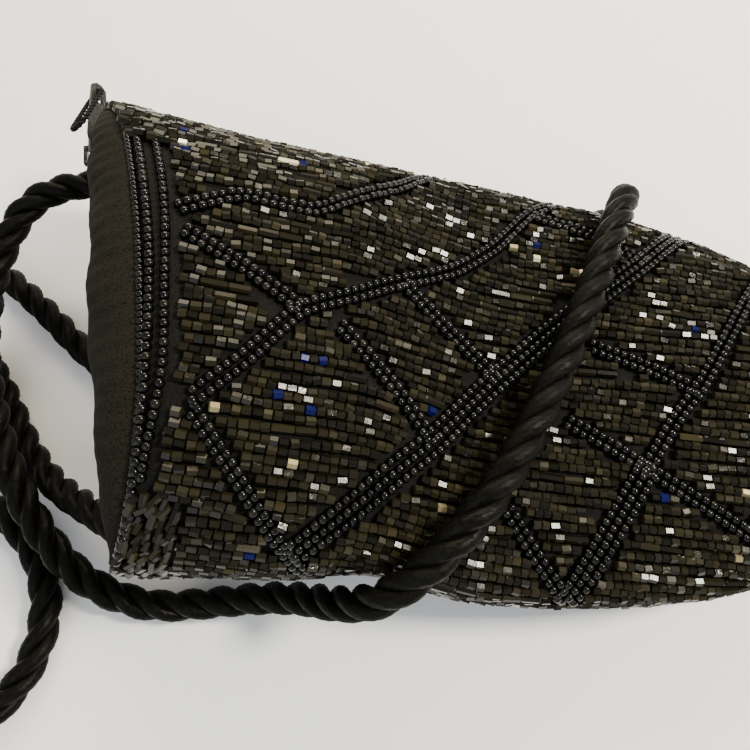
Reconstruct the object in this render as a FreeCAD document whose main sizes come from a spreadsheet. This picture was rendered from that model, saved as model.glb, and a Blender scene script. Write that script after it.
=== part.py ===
import FreeCAD, Part
import Sketcher
import math
import os

# A beaded evening bag that lies on its back: +X runs from the zipped mouth to the rounded bottom,
# +Y to the side where the closed zip's slider is parked, +Z up out of the front panel.
# The origin is on the flat patch of the back panel that the bag rests on.

Vector = FreeCAD.Vector
Rotation = FreeCAD.Rotation
Placement = FreeCAD.Placement
os.makedirs("parts", exist_ok=True)
doc = FreeCAD.newDocument("evening_bag")

# ---------------------------------------------------------------- driving dimensions, in mm and degrees
DIMENSIONS = [
    ("bag_length", 214, "zip to the tip of the rounded bottom"),
    ("mouth_reach", 110, "from the middle of the resting patch to the zip"),
    ("mouth_half", 66, "half the width of the bag at the mouth"),
    ("body_half", 59.5, "half the width of the bag along its body"),
    ("straight_length", 84, "length of the body before its bottom starts to round"),
    ("top_height", 74, "highest point of the front panel, at the mouth"),
    ("body_top", 44, "height of the front panel along the body"),
    ("zip_height", 44, "height of the zip, and of the side seam at the mouth"),
    ("waist_deep", 4, "how far the strap draws in the near side"),
    ("waist_x", -44, "where it does"),
    ("waist_long", 18, "reach of the drawn-in stretch, each way"),
    ("tip_height", 22, "height of the seam at the tip of the bottom"),
    ("mouth_lift", 12.5, "height of the underside at the mouth, over the strap"),
    ("mouth_skew", 16, "angle by which the mouth lies askew to the bag's length"),
    ("gusset_depth", 17.5, "how far the zip stands out from the panels' mouth edges"),
    ("zip_half_gap", 7, "half the space between the two top gussets"),
    ("panel_thick", 2.5, "fabric with its layer of glass beads"),
    ("padding_thick", 1.5, "interlining between panel and lining"),
    ("lining_thick", 0.6, "satin lining"),
    ("gusset_thick", 1.2, "plain crepe strip beside the zip"),
    ("layer_gap", 0.1, "play between two sewn layers"),
    ("seed_bead", 2.6, "diameter of the round beads along the mouth"),
    ("tape_thick", 0.7, "zip tape"),
    ("tape_width", 4.9, "visible width of each zip tape"),
    ("tape_length", 126, "length of the zip tapes"),
    ("tooth_pitch", 2, "spacing of the zip's teeth"),
    ("tooth_count", 58, "teeth on each side of the zip"),
    ("tooth_long", 1.1, "size of a tooth along the zip"),
    ("tooth_deep", 3.1, "size of a tooth through the tape"),
    ("tooth_reach", 1.3, "size of a tooth across the zip"),
    ("slider_long", 9, "slider, along the zip"),
    ("slider_wide", 7.6, "slider, across the zip"),
    ("slider_plate", 1, "thickness of each plate of the slider"),
    ("wedge_thick", 0.7, "slider's wedge, between the two rows of teeth"),
    ("bridge_long", 6.4, "bridge on the slider, along the zip"),
    ("bridge_tall", 6.5, "bridge on the slider, out of the zip"),
    ("bridge_thick", 1.4, "bridge on the slider, across the zip"),
    ("bridge_bar", 1, "thickness of the bridge around its eye"),
    ("slider_park", 54, "where the slider is parked, from the middle of the zip"),
    ("tab_long", 27, "pull tab from its hinge bar to its tip"),
    ("tab_wide", 6.4, "pull tab at its shoulders"),
    ("tab_tip", 4.6, "pull tab at its tip"),
    ("tab_thick", 1, "thickness of the pull tab"),
    ("tab_bar", 1.1, "diameter of the tab's hinge bar"),
    ("tab_twist", -34, "how far the loose tab hangs turned in the bridge"),
    ("tab_lean", 1, "how far the tab leans over the end of the zip"),
    ("loop_thick", 1.6, "cord of the small loop on the tab"),
    ("loop_half", 3.2, "half the width of the small loop"),
    ("loop_long", 13, "straight length of the small loop"),
    ("loop_angle", 160, "angle at which the small loop hangs from the tab"),
    ("rope_thick", 8.4, "diameter of the twisted strap"),
    ("rope_end_long", 7, "length of the bound end of the strap"),
    ("rope_end_thick", 9.4, "diameter of the bound end of the strap"),
]
sheet = doc.addObject("Spreadsheet::Sheet", "Dimensions")
for row, (alias, value, note) in enumerate(DIMENSIONS, start=1):
    sheet.set(f"A{row}", note)
    sheet.set(f"B{row}", str(value))
    sheet.setAlias(f"B{row}", alias)
doc.recompute()


def size(alias):
    """One driving dimension, in mm or degrees."""
    return float(getattr(sheet, alias))


nodes = []  # every document object that is written as a node


def node(obj):
    nodes.append(obj)
    return obj


# ---------------------------------------------------------------- the stuffed bag, as one closed form
LENGTH = size("bag_length")
MOUTH_X = -size("mouth_reach")
TIP_X = MOUTH_X + LENGTH
ROUND_X = MOUTH_X + size("straight_length")  # here the bottom starts to round
ZIP_Z = size("zip_height")
SKEW = size("mouth_skew")
FRONT_POWER = 2.2  # superellipse of the crowned front
BACK_POWER = 3.0  # flatter underside
OUTLINE_POWER = 2.5  # rounding of the bottom, seen from above
BELOW_TABLE = 0.7  # the underside's crown, cut off flat at the resting plane
SECTION_POINTS = 28


def ease(value, low, high):
    """0 before low, 1 after high, and a smooth step between."""
    part = min(max((value - low) / (high - low), 0.0), 1.0)
    return part * part * (3.0 - 2.0 * part)


def rounding(x, start):
    """1 up to start, falling to 0 at the tip along a superellipse."""
    part = min(max((x - start) / (TIP_X - start), 0.0), 1.0)
    return (1.0 - part**OUTLINE_POWER) ** (1.0 / OUTLINE_POWER)


def seam_height(x):
    return ZIP_Z + (size("tip_height") - ZIP_Z) * (x - MOUTH_X) / LENGTH


def section(x, inset):
    """One closed cross-section of the bag, set in from its outside by inset."""
    flare = math.exp((MOUTH_X - x) / 35.0)
    half = size("body_half") + (size("mouth_half") - size("body_half")) * flare
    half *= rounding(x, ROUND_X)
    seam = seam_height(x)
    crest = size("body_top") - size("top_height")
    crest = size("top_height") + crest * ease(x, MOUTH_X + 14.0, MOUTH_X + 125.0)
    rise = (crest - seam) * rounding(x, MOUTH_X + 130.0)
    lift = size("mouth_lift") * (1.0 - ease(x, MOUTH_X + 30.0, MOUTH_X + 80.0))
    low = lift - BELOW_TABLE * ease(x, MOUTH_X + 60.0, MOUTH_X + 85.0)
    drop = (seam - low) * rounding(x, ROUND_X + 20.0)
    half, rise, drop = max(half - inset, 1.0), max(rise - inset, 0.8), max(drop - inset, 0.8)
    turn = math.radians(SKEW) * (1.0 - ease(x, MOUTH_X, MOUTH_X + 130.0))
    waist = size("waist_deep") * math.exp(-((x - size("waist_x")) / size("waist_long")) ** 2)
    points = []
    for k in range(SECTION_POINTS):
        angle = 2.0 * math.pi * k / SECTION_POINTS
        across, up = math.cos(angle), math.sin(angle)
        power = FRONT_POWER if up >= 0 else BACK_POWER
        y = half * math.copysign(abs(across) ** (2.0 / power), across)
        y += waist * max(-across, 0.0) ** 2
        z = seam + (rise if up >= 0 else drop) * math.copysign(abs(up) ** (2.0 / power), up)
        points.append(Vector(x - y * math.sin(turn), y * math.cos(turn), z))
    curve = Part.BSplineCurve()
    curve.interpolate(points, PeriodicFlag=True)
    return Part.Wire([curve.toShape()])


STATION_SHARES = (0.0, 0.2, 0.4, 0.58, 0.74, 0.86, 0.94, 0.985)  # of the rounding stretch


def stuffed(inset):
    """The solid inside the bag's outer surface set in by inset."""
    stations = [MOUTH_X + step for step in (-14.0, 4.0, 20.0, 38.0, 56.0, 70.0)]
    reach = TIP_X - ROUND_X - inset
    stations += [ROUND_X + share * reach for share in STATION_SHARES]
    return Part.makeLoft([section(x, inset) for x in stations], True, False)


def half_space(point, normal):
    """A large box that fills the side of a plane that normal points to."""
    reach = 500.0
    box = Part.makeBox(2 * reach, 2 * reach, reach, Vector(-reach, -reach, 0))
    box.Placement = Placement(point, Rotation(Vector(0, 0, 1), normal))
    return box


# ---------------------------------------------------------------- the mouth's own frame and its planes
MOUTH = Placement(Vector(MOUTH_X, 0, ZIP_Z), Rotation(Vector(0, 0, 1), SKEW))
SHELL_START = 5.6  # the layers of the bag start this far behind the zip's face


def at_mouth(x, y, z):
    """A point of the mouth's frame: x into the bag, y along the zip, z up."""
    return MOUTH.multVec(Vector(x, y, z))


def gusset_plane(side):
    """A point of the plane of the front (1) or back (-1) gusset, and its normal into the bag."""
    gap = size("zip_half_gap")
    reach = size("top_height") - ZIP_Z if side > 0 else ZIP_Z - size("mouth_lift")
    slope = math.atan2(reach - gap, size("gusset_depth") - 1.5)
    normal = Vector(math.sin(slope), 0, -side * math.cos(slope))
    return at_mouth(1.5, 0, side * gap), MOUTH.Rotation.multVec(normal), slope


SEAM_NORMAL = Vector(ZIP_Z - size("tip_height"), 0, LENGTH).normalize()


def trimmed(solid, side, back_off):
    """The front (1) or back (-1) half of a layer, cut along the seam and the mouth edge."""
    start, inward, _ = gusset_plane(side)
    seam_point = Vector(MOUTH_X, 0, ZIP_Z) + SEAM_NORMAL * (side * size("layer_gap") / 2)
    kept = solid.common(half_space(seam_point, SEAM_NORMAL * side))
    kept = kept.common(half_space(start + inward * back_off, inward))
    mouth_axis = MOUTH.Rotation.multVec(Vector(1, 0, 0))
    kept = kept.common(half_space(at_mouth(SHELL_START + back_off, 0, 0), mouth_axis))
    return kept.common(half_space(Vector(0, 0, 0), Vector(0, 0, 1)))


def shaped(label, shape, placement=Placement()):
    """A node whose shape is set straight from Part's functions, in the frame of placement."""
    feature = doc.addObject("Part::Feature", label)
    feature.Label = label
    solids = shape.Solids
    feature.Shape = solids[0] if len(solids) == 1 else Part.makeCompound(solids)
    feature.Placement = placement
    return node(feature)


GAP = size("layer_gap")
PADDING_FROM = size("panel_thick") + GAP
PADDING_TO = PADDING_FROM + size("padding_thick")
LINING_FROM = PADDING_TO + GAP
LINING_TO = LINING_FROM + size("lining_thick")
outside = stuffed(0.0)
LAYERS = (
    ("panel", outside, stuffed(size("panel_thick")), 0.0),
    ("padding", stuffed(PADDING_FROM), stuffed(PADDING_TO), 0.3),
    ("lining", stuffed(LINING_FROM), stuffed(LINING_TO), 0.3),
)
for layer, outer, inner, back_off in LAYERS:
    shell = outer.cut(inner)
    shaped(f"front_{layer}", trimmed(shell, 1, back_off))
    shaped(f"back_{layer}", trimmed(shell, -1, back_off))

# ---------------------------------------------------------------- plain gussets between panels and zip
gusset_form = stuffed(0.6)
for side, name in ((1, "front"), (-1, "back")):
    start, inward, _ = gusset_plane(side)
    near = half_space(start - inward * GAP, inward * -1)
    far = half_space(start - inward * (GAP + size("gusset_thick")), inward)
    edge = half_space(at_mouth(0, 0, side * size("zip_half_gap")), Vector(0, 0, side))
    face = half_space(at_mouth(-1.0, 0, 0), MOUTH.Rotation.multVec(Vector(1, 0, 0)))
    shaped(f"{name}_gusset", gusset_form.common(near).common(far).common(edge).common(face))

# ---------------------------------------------------------------- round beads sewn along each mouth edge
bead_radius = size("seed_bead") / 2
bead_form = stuffed(-bead_radius - 0.1)
for side, name in ((1, "front"), (-1, "back")):
    start, inward, _ = gusset_plane(side)
    centre = start + inward * (bead_radius + 0.3)
    ring = bead_form.slice(inward, centre.dot(inward))[0]
    along = MOUTH.Rotation.multVec(Vector(0, 1, 0))
    count = int(ring.Length / (size("seed_bead") + 0.08))
    beads = []
    for point in ring.discretize(Number=count)[:-1]:
        height = (point.z - ZIP_Z) * side
        if height > size("zip_half_gap") + 1.5 and point.z > bead_radius:
            beads.append(Part.makeSphere(bead_radius, point))
    shaped(f"{name}_mouth_beads", Part.makeCompound(beads))


# ---------------------------------------------------------------- PartDesign helpers
def body(label):
    made = doc.addObject("PartDesign::Body", label)
    made.Label = label
    return node(made)


def sketch(owner, name, role, offset=0.0):
    """A sketch on one of the body's own origin planes, moved out of it by offset."""
    made = owner.newObject("Sketcher::SketchObject", name)
    plane = next(f for f in owner.Origin.OriginFeatures if f.Role == role)
    made.AttachmentSupport = (plane, [""])
    made.MapMode = "FlatFace"
    made.AttachmentOffset = Placement(Vector(0, 0, offset), Rotation())
    return made


def rectangle(made, low, high, width=None, height=None):
    """Adds a rectangle. width and height are expressions of the sheet that drive its sides."""
    corners = [Vector(low[0], low[1], 0), Vector(high[0], low[1], 0)]
    corners += [Vector(high[0], high[1], 0), Vector(low[0], high[1], 0)]
    first = made.GeometryCount
    for k in range(4):
        made.addGeometry(Part.LineSegment(corners[k], corners[(k + 1) % 4]), False)
    for k in range(4):
        made.addConstraint(Sketcher.Constraint("Coincident", first + k, 2, first + (k + 1) % 4, 1))
    for k in (0, 2):
        made.addConstraint(Sketcher.Constraint("Horizontal", first + k))
        made.addConstraint(Sketcher.Constraint("Vertical", first + k + 1))
    made.addConstraint(Sketcher.Constraint("DistanceX", -1, 1, first, 1, low[0]))
    if width:
        made.setExpression(f"Constraints[{made.ConstraintCount - 1}]", f"-({width}) / 2")
    made.addConstraint(Sketcher.Constraint("DistanceY", -1, 1, first, 1, low[1]))
    if height:
        made.setExpression(f"Constraints[{made.ConstraintCount - 1}]", f"-({height}) / 2")
    made.addConstraint(Sketcher.Constraint("DistanceX", first, 1, first, 2, high[0] - low[0]))
    if width:
        made.setExpression(f"Constraints[{made.ConstraintCount - 1}]", width)
    made.addConstraint(Sketcher.Constraint("DistanceY", first + 1, 1, first + 1, 2, high[1] - low[1]))
    if height:
        made.setExpression(f"Constraints[{made.ConstraintCount - 1}]", height)


def pad(owner, name, profile, length, kind="PartDesign::Pad", reverse=False, midplane=False):
    made = owner.newObject(kind, name)
    made.Profile = profile
    if isinstance(length, str):
        made.setExpression("Length", length)
    else:
        made.Length = length
    made.Reversed = reverse
    made.Midplane = midplane
    return made


# ---------------------------------------------------------------- the zip, in the mouth's frame
TAPE_FACE = 1.9  # outer face of the tape, behind the zip's own face
TEETH_FACE = 0.7
TEETH_GAP = 0.5  # from the zip's middle to each row of teeth
tape_inner = TEETH_GAP + size("tooth_reach") + GAP
tape_outer = tape_inner + size("tape_width")
tooth_start = -size("tooth_pitch") * size("tooth_count") / 2 - 2.0

for side, name in ((1, "front"), (-1, "back")):
    tape = body(f"zip_tape_{name}")
    low = min(side * tape_inner, side * tape_outer)
    outline = sketch(tape, f"tape_outline_{name}", "XZ_Plane")
    rectangle(outline, (TAPE_FACE, low), (TAPE_FACE + size("tape_thick"), low + size("tape_width")))
    outline.setExpression(f"Constraints[{outline.ConstraintCount - 2}]", "Dimensions.tape_thick")
    outline.setExpression(f"Constraints[{outline.ConstraintCount - 1}]", "Dimensions.tape_width")
    pad(tape, f"tape_length_{name}", outline, "Dimensions.tape_length", midplane=True)
    tape.Placement = MOUTH

    teeth = body(f"zip_teeth_{name}")
    row_low = TEETH_GAP if side > 0 else -TEETH_GAP - size("tooth_reach")
    spine_low = TEETH_GAP + 0.8 if side > 0 else -TEETH_GAP - size("tooth_reach")
    spine = sketch(teeth, f"spine_outline_{name}", "XZ_Plane", -tooth_start)
    rectangle(spine, (TEETH_FACE + 0.9, spine_low), (TEETH_FACE + 2.2, spine_low + 0.5))
    run = "Dimensions.tooth_pitch * Dimensions.tooth_count"
    pad(teeth, f"spine_length_{name}", spine, run, reverse=True)
    shift = 0.0 if side > 0 else size("tooth_pitch") / 2
    profile = sketch(teeth, f"tooth_outline_{name}", "XZ_Plane", -tooth_start - shift)
    high = (TEETH_FACE + size("tooth_deep"), row_low + size("tooth_reach"))
    rectangle(profile, (TEETH_FACE, row_low), high)
    tooth = pad(teeth, f"tooth_{name}", profile, "Dimensions.tooth_long", reverse=True)
    row = teeth.newObject("PartDesign::LinearPattern", f"tooth_row_{name}")
    row.Originals = [tooth]
    row.Direction = (next(f for f in teeth.Origin.OriginFeatures if f.Role == "Y_Axis"), [""])
    row.setExpression("Length", "Dimensions.tooth_pitch * (Dimensions.tooth_count - 1)")
    row.setExpression("Occurrences", "Dimensions.tooth_count")
    teeth.Tip = row
    teeth.Placement = MOUTH

STOP_LOW = (TEETH_FACE - 0.1, -TEETH_GAP - size("tooth_reach"))
STOP_HIGH = (TEETH_FACE + size("tooth_deep"), TEETH_GAP + size("tooth_reach"))
ZIP_ENDS = (
    ("zip_top_stop", size("slider_park") + size("slider_long") / 2 + 0.4, 1.2),
    ("zip_bottom_stop", tooth_start - 1.8, 1.6),
)
for name, place, length in ZIP_ENDS:
    stop = body(name)
    outline = sketch(stop, f"{name}_outline", "XZ_Plane", -place)
    rectangle(outline, STOP_LOW, STOP_HIGH)
    pad(stop, f"{name}_length", outline, length, reverse=True)
    stop.Placement = MOUTH

for side, name in ((1, "far"), (-1, "near")):
    patch = body(f"zip_end_patch_{name}")
    outline = sketch(patch, f"patch_outline_{name}", "YZ_Plane", TAPE_FACE - 1.0)
    first = size("tape_length") / 2 + 0.2
    last = size("mouth_half") - 0.4
    low, high = (first, last) if side > 0 else (-last, -first)
    rectangle(outline, (low, -6.4), (high, 6.4))
    pad(patch, f"patch_thickness_{name}", outline, SHELL_START - TAPE_FACE + 0.7)
    patch.Placement = MOUTH

# ---------------------------------------------------------------- slider, pull tab and its small loop
SLIDER = MOUTH.multiply(Placement(Vector(0, size("slider_park"), 0), Rotation()))
OUTER_PLATE = TEETH_FACE - 0.4
INNER_PLATE = TEETH_FACE + size("tooth_deep") + 0.4
HALF_WIDE = size("slider_wide") / 2
slider = body("slider_body")
plate = sketch(slider, "outer_plate", "YZ_Plane", OUTER_PLATE - size("slider_plate"))
rectangle(plate, (-4.5, -3.8), (4.5, 3.8), "Dimensions.slider_long", "Dimensions.slider_wide")
pad(slider, "outer_plate_pad", plate, "Dimensions.slider_plate")
wedge = sketch(slider, "wedge", "YZ_Plane", OUTER_PLATE - 0.1)
rectangle(wedge, (1.2, -size("wedge_thick") / 2), (4.2, size("wedge_thick") / 2))
pad(slider, "wedge_pad", wedge, INNER_PLATE - OUTER_PLATE + 0.2)
plate = sketch(slider, "inner_plate", "YZ_Plane", INNER_PLATE)
rectangle(plate, (-4.5, -3.8), (4.5, 3.8), "Dimensions.slider_long", "Dimensions.slider_wide")
pad(slider, "inner_plate_pad", plate, "Dimensions.slider_plate")
for side in (1, -1):
    for k, (face, depth) in enumerate(((OUTER_PLATE - 0.1, 1.2), (INNER_PLATE - 1.1, 1.2))):
        flange = sketch(slider, f"flange_{k}_{'a' if side > 0 else 'b'}", "YZ_Plane", face)
        low, high = (HALF_WIDE - 0.8, HALF_WIDE) if side > 0 else (-HALF_WIDE, 0.8 - HALF_WIDE)
        rectangle(flange, (-4.5, low), (4.5, high))
        pad(slider, f"flange_pad_{k}_{'a' if side > 0 else 'b'}", flange, depth)
BRIDGE_FOOT = OUTER_PLATE - size("slider_plate")
BRIDGE_TOP = BRIDGE_FOOT - size("bridge_tall")
HINGE_X = (BRIDGE_FOOT + BRIDGE_TOP + size("bridge_bar")) / 2
half_long, bar = size("bridge_long") / 2, size("bridge_bar")
bridge = sketch(slider, "bridge", "XY_Plane")
rectangle(bridge, (BRIDGE_TOP, -half_long), (BRIDGE_FOOT + 0.3, half_long))
pad(slider, "bridge_pad", bridge, "Dimensions.bridge_thick", midplane=True)
eye = sketch(slider, "bridge_eye", "XY_Plane")
rectangle(eye, (BRIDGE_TOP + bar, bar - half_long), (BRIDGE_FOOT, half_long - bar))
pad(slider, "bridge_eye_cut", eye, 3 * size("bridge_thick"), "PartDesign::Pocket", midplane=True)
slider.Placement = SLIDER

# The tab's frame: origin on its hinge bar, y along the tab, z across it.
TAB_TURN = Rotation(Vector(0, 0, 1), -size("tab_lean")).multiply(Rotation(Vector(0, 1, 0), size("tab_twist")))
TAB = SLIDER.multiply(Placement(Vector(HINGE_X, 0, 0), TAB_TURN))
WINDOW = (0.2, 5.4)  # along the tab, for the bridge
SLOT = (size("tab_long") - 7.4, size("tab_long") - 2.2)
SLOT_HALF = 1.0
tab = body("pull_tab")
outline = sketch(tab, "tab_outline", "YZ_Plane", -size("tab_thick") / 2)
wide, tip, long = size("tab_wide") / 2, size("tab_tip") / 2, size("tab_long")
round_in = 0.6 * tip
corners = [(0.0, -2.7), (4.2, -2.7), (6.4, -wide), (long - round_in, -tip), (long, -tip + round_in)]
corners += [(long, tip - round_in), (long - round_in, tip), (6.4, wide), (4.2, 2.7), (0.0, 2.7)]
for k, (y, z) in enumerate(corners):
    after = corners[(k + 1) % len(corners)]
    outline.addGeometry(Part.LineSegment(Vector(y, z, 0), Vector(after[0], after[1], 0)), False)
for k in range(len(corners)):
    outline.addConstraint(Sketcher.Constraint("Coincident", k, 2, (k + 1) % len(corners), 1))
for k in range(len(corners)):
    outline.addConstraint(Sketcher.Constraint("Block", k))
pad(tab, "tab_pad", outline, "Dimensions.tab_thick")
window = sketch(tab, "tab_window", "YZ_Plane")
rectangle(window, (WINDOW[0], -1.7), (WINDOW[1], 1.7))
pad(tab, "tab_window_cut", window, 6.0, "PartDesign::Pocket", midplane=True)
slot = sketch(tab, "tab_slot", "YZ_Plane")
rectangle(slot, (SLOT[0], -SLOT_HALF), (SLOT[1], SLOT_HALF))
pad(tab, "tab_slot_cut", slot, 6.0, "PartDesign::Pocket", midplane=True)
pin = sketch(tab, "hinge_bar", "XY_Plane")
pin.addGeometry(Part.Circle(Vector(0, 0, 0), Vector(0, 0, 1), size("tab_bar") / 2), False)
pin.addConstraint(Sketcher.Constraint("Coincident", 0, 3, -1, 1))
pin.addConstraint(Sketcher.Constraint("Diameter", 0, size("tab_bar")))
pin.setExpression("Constraints[1]", "Dimensions.tab_bar")
pad(tab, "hinge_bar_pad", pin, 5.4, midplane=True)
tab.Placement = TAB

# The loop passes through the slot along the tab's own x, and hangs from the slot's outer end.
LOOP_PIVOT = Vector(0, SLOT[1] - size("loop_thick") / 2 - 0.1, 0)
half, reach = size("loop_half"), size("loop_long")
path = Part.Wire([
    Part.Arc(Vector(-half, half, 0), Vector(0, 0, 0), Vector(half, half, 0)).toShape(),
    Part.LineSegment(Vector(half, half, 0), Vector(half, half + reach, 0)).toShape(),
    Part.Arc(Vector(half, half + reach, 0), Vector(0, 2 * half + reach, 0), Vector(-half, half + reach, 0)).toShape(),
    Part.LineSegment(Vector(-half, half + reach, 0), Vector(-half, half, 0)).toShape(),
])
ring = Part.Wire([Part.Circle(Vector(half, half, 0), Vector(0, 1, 0), size("loop_thick") / 2).toShape()])
path = Part.Wire(path.Edges[1:] + path.Edges[:1])
loop = path.makePipeShell([ring], True, True)
shaped("pull_loop", loop, TAB.multiply(Placement(LOOP_PIVOT, Rotation(Vector(1, 0, 0), size("loop_angle")))))

# ---------------------------------------------------------------- inner pocket on the back lining
pocket = body("inner_pocket")
outline = sketch(pocket, "pocket_outline", "XY_Plane", LINING_TO + 1.4)
rectangle(outline, (-30, -21), (34, 21))
pad(pocket, "pocket_pad", outline, "Dimensions.lining_thick")

# ---------------------------------------------------------------- strap: a twisted rope, bound at both ends
ROPE = size("rope_thick") / 2
END_HALF = size("rope_end_thick") / 2
REST = ROPE + 0.1  # height of the rope's middle where it lies on the table

# The bound ends sit on the back gusset, just in from each corner of the mouth.
END_HEIGHT = -12.5
START, INWARD, SLOPE = gusset_plane(-1)
END_DEPTH = 1.5 + (-END_HEIGHT - size("zip_half_gap")) / math.tan(SLOPE)
END_DEPTH -= (size("gusset_thick") + 2 * GAP) / math.sin(SLOPE) + END_HALF / math.tan(SLOPE) * 0.9


def rope_end(name, along, turn, dip):
    """The bound end, a short cylinder, and the point and heading at which the rope leaves it."""
    dip = math.radians(dip)
    outward = Rotation(Vector(0, 0, 1), turn).multVec(Vector(-math.cos(dip), 0, -math.sin(dip)))
    heading = MOUTH.Rotation.multVec(outward)
    foot = at_mouth(END_DEPTH, along, END_HEIGHT)
    bound = doc.addObject("Part::Cylinder", name)
    bound.Label = name
    bound.setExpression("Radius", "Dimensions.rope_end_thick / 2")
    bound.setExpression("Height", "Dimensions.rope_end_long")
    bound.Placement = Placement(foot, Rotation(Vector(0, 0, 1), heading))
    node(bound)
    return foot + heading * size("rope_end_long"), heading


far_exit, far_heading = rope_end("strap_end_far", 53, -8, 0)
near_exit, near_heading = rope_end("strap_end_near", -57, -36, 33)


def rounded_path(points):
    """Straight runs with tangent arcs, each as large as its two runs allow, and the arcs' radii."""
    edges, radii, last = [], [], points[0]
    for before, corner, after in zip(points, points[1:], points[2:]):
        back, ahead = before - corner, after - corner
        turn = math.pi - back.getAngle(ahead)
        trim = 0.45 * min(back.Length, ahead.Length)
        radii.append(trim / math.tan(turn / 2))
        enter = corner + back.normalize() * trim
        leave = corner + ahead.normalize() * trim
        bisector = (back + ahead).normalize()
        middle = corner + bisector * (radii[-1] / math.cos(turn / 2) - radii[-1])
        edges.append(Part.LineSegment(last, enter).toShape())
        edges.append(Part.Arc(enter, middle, leave).toShape())
        last = leave
    edges.append(Part.LineSegment(last, points[-1]).toShape())
    return Part.Wire(edges), radii


ROUTE = [Vector(*point) for point in (
    # out of the far corner of the mouth and down beside it
    tuple(far_exit),
    tuple(far_exit + far_heading * 11),
    (-155, 41, 29),
    (-162, 22, 22),
    (-161, 1, 18),
    (-153, -18, 17.5),
    (-142, -36, 17.5),
    (-130, -52, 15.5),
    (-115, -66, 10),
    (-97, -71, 5),
    (-78, -69, REST),
    (-61, -64.5, 4.8),
    (-47, -62, 9),
    # up the near side, over the front panel and down the far side
    (-37.5, -62.5, 18),
    (-32.5, -64, 32),
    (-27.5, -61.5, 46),
    (-17.5, -48, 53.5),
    (-7, -32, 54),
    (2, -13, 52.5),
    (9, 5, 51.5),
    (15.5, 23, 50),
    (21.5, 41, 47.5),
    (28, 57.5, 42),
    (33, 69, 30),
    (31, 75, 14.5),
    (17, 75, 5),
    # along the back, and under the lifted mouth
    (-1, 75, REST),
    (-21, 77, REST),
    (-41, 76, REST),
    (-60, 62, REST),
    (-73, 40, REST),
    (-78, 20, REST),
    (-88, 3, REST),
    (-103.5, -6, REST),
    (-121.5, -5.2, REST),
    (-137, 4, REST),
    (-152, 16, REST),
    (-170, 28, REST),
    # a wide loop round the near end of the strap
    (-190, 38, REST),
    (-214, 42, REST),
    (-236, 30, REST),
    (-248, 7, REST),
    (-251, -22, REST),
    (-247, -52, REST),
    (-235, -80, REST),
    (-215, -103, REST),
    (-189, -117, REST),
    (-161, -119, REST),
    (-137, -108, REST),
    (-125, -93, REST),
    (-123.5, -76, REST),
    (-131, -60, REST),
    (-146, -49, REST),
    (-165, -45, REST),
    (-185, -43.5, REST),
    (-205, -44, REST),
    (-220, -33.3, REST),
    (-225.4, -16, REST),
    (-220, 1.3, REST),
    (-205, 12, REST),
    (-187, 12, REST),
    (-171, 2, REST),
    (-158, -12, REST),
    (-145, -29.5, REST),
    # up to the near corner of the mouth
    (-130, -41.5, 8.5),
    tuple(near_exit + near_heading * 13),
    tuple(near_exit),
)]
spine, radii = rounded_path(ROUTE)
start_heading = ROUTE[1] - ROUTE[0]
rope_face = Part.Wire([Part.Circle(ROUTE[0], start_heading, ROPE).toShape()])
rope = spine.makePipeShell([rope_face], True, True)
expected = math.pi * ROPE**2 * spine.Length
print(f"strap: {spine.Length:.0f} mm long, volume {rope.Volume / expected:.4f} of section times length")
print("strap radii, mm:", " ".join(f"{radius:.0f}" for radius in radii))
shaped("strap_cord", rope)

# ---------------------------------------------------------------- check every object, then write the nodes
doc.recompute()
for obj in doc.Objects:
    if any(state in ("Invalid", "Error") for state in obj.State):
        raise RuntimeError(f"{obj.Label} is {obj.State}")
for obj in nodes:
    if obj.Shape.isNull() or not obj.Shape.isValid():
        raise RuntimeError(f"{obj.Label} has no valid shape")
for obj in nodes:
    obj.Shape.exportStep(f"parts/{obj.Label}.step")
    box = obj.Shape.optimalBoundingBox()
    print(f"{obj.Label}: {len(obj.Shape.Solids)} solids, z {box.ZMin:.2f} to {box.ZMax:.2f}")
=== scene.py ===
import math
import bpy
import numpy as np
from mathutils import Matrix, Vector


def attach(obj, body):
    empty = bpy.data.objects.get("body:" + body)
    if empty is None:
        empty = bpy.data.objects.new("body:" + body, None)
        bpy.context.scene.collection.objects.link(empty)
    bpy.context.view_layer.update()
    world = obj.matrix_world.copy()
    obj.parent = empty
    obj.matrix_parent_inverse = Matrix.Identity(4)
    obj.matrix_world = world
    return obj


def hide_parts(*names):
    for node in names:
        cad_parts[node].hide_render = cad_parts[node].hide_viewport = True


# A stuffed, beaded evening bag lying on its back. Numbers are in mm in the part's frame unless they
# say otherwise: +X from the zipped mouth to the rounded bottom, +Y to the parked slider, +Z up.
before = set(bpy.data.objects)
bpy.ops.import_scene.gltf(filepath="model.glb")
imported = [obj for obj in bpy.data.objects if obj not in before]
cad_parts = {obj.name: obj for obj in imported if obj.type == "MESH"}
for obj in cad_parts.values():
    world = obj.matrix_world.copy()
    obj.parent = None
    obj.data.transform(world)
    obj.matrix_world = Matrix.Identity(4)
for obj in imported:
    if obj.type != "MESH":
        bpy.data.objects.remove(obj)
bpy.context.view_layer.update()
MM = 0.001
rng = np.random.default_rng(7)
scene = bpy.context.scene


# ---------------------------------------------------------------- camera, in metres and degrees
CAMERA_PLACE = (-0.0374, -0.06165, 0.1856)
PITCH, YAW, ROLL = 69.34, -2.44, 4.01
SENSOR, LENS = 36.0, 28.32


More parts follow.
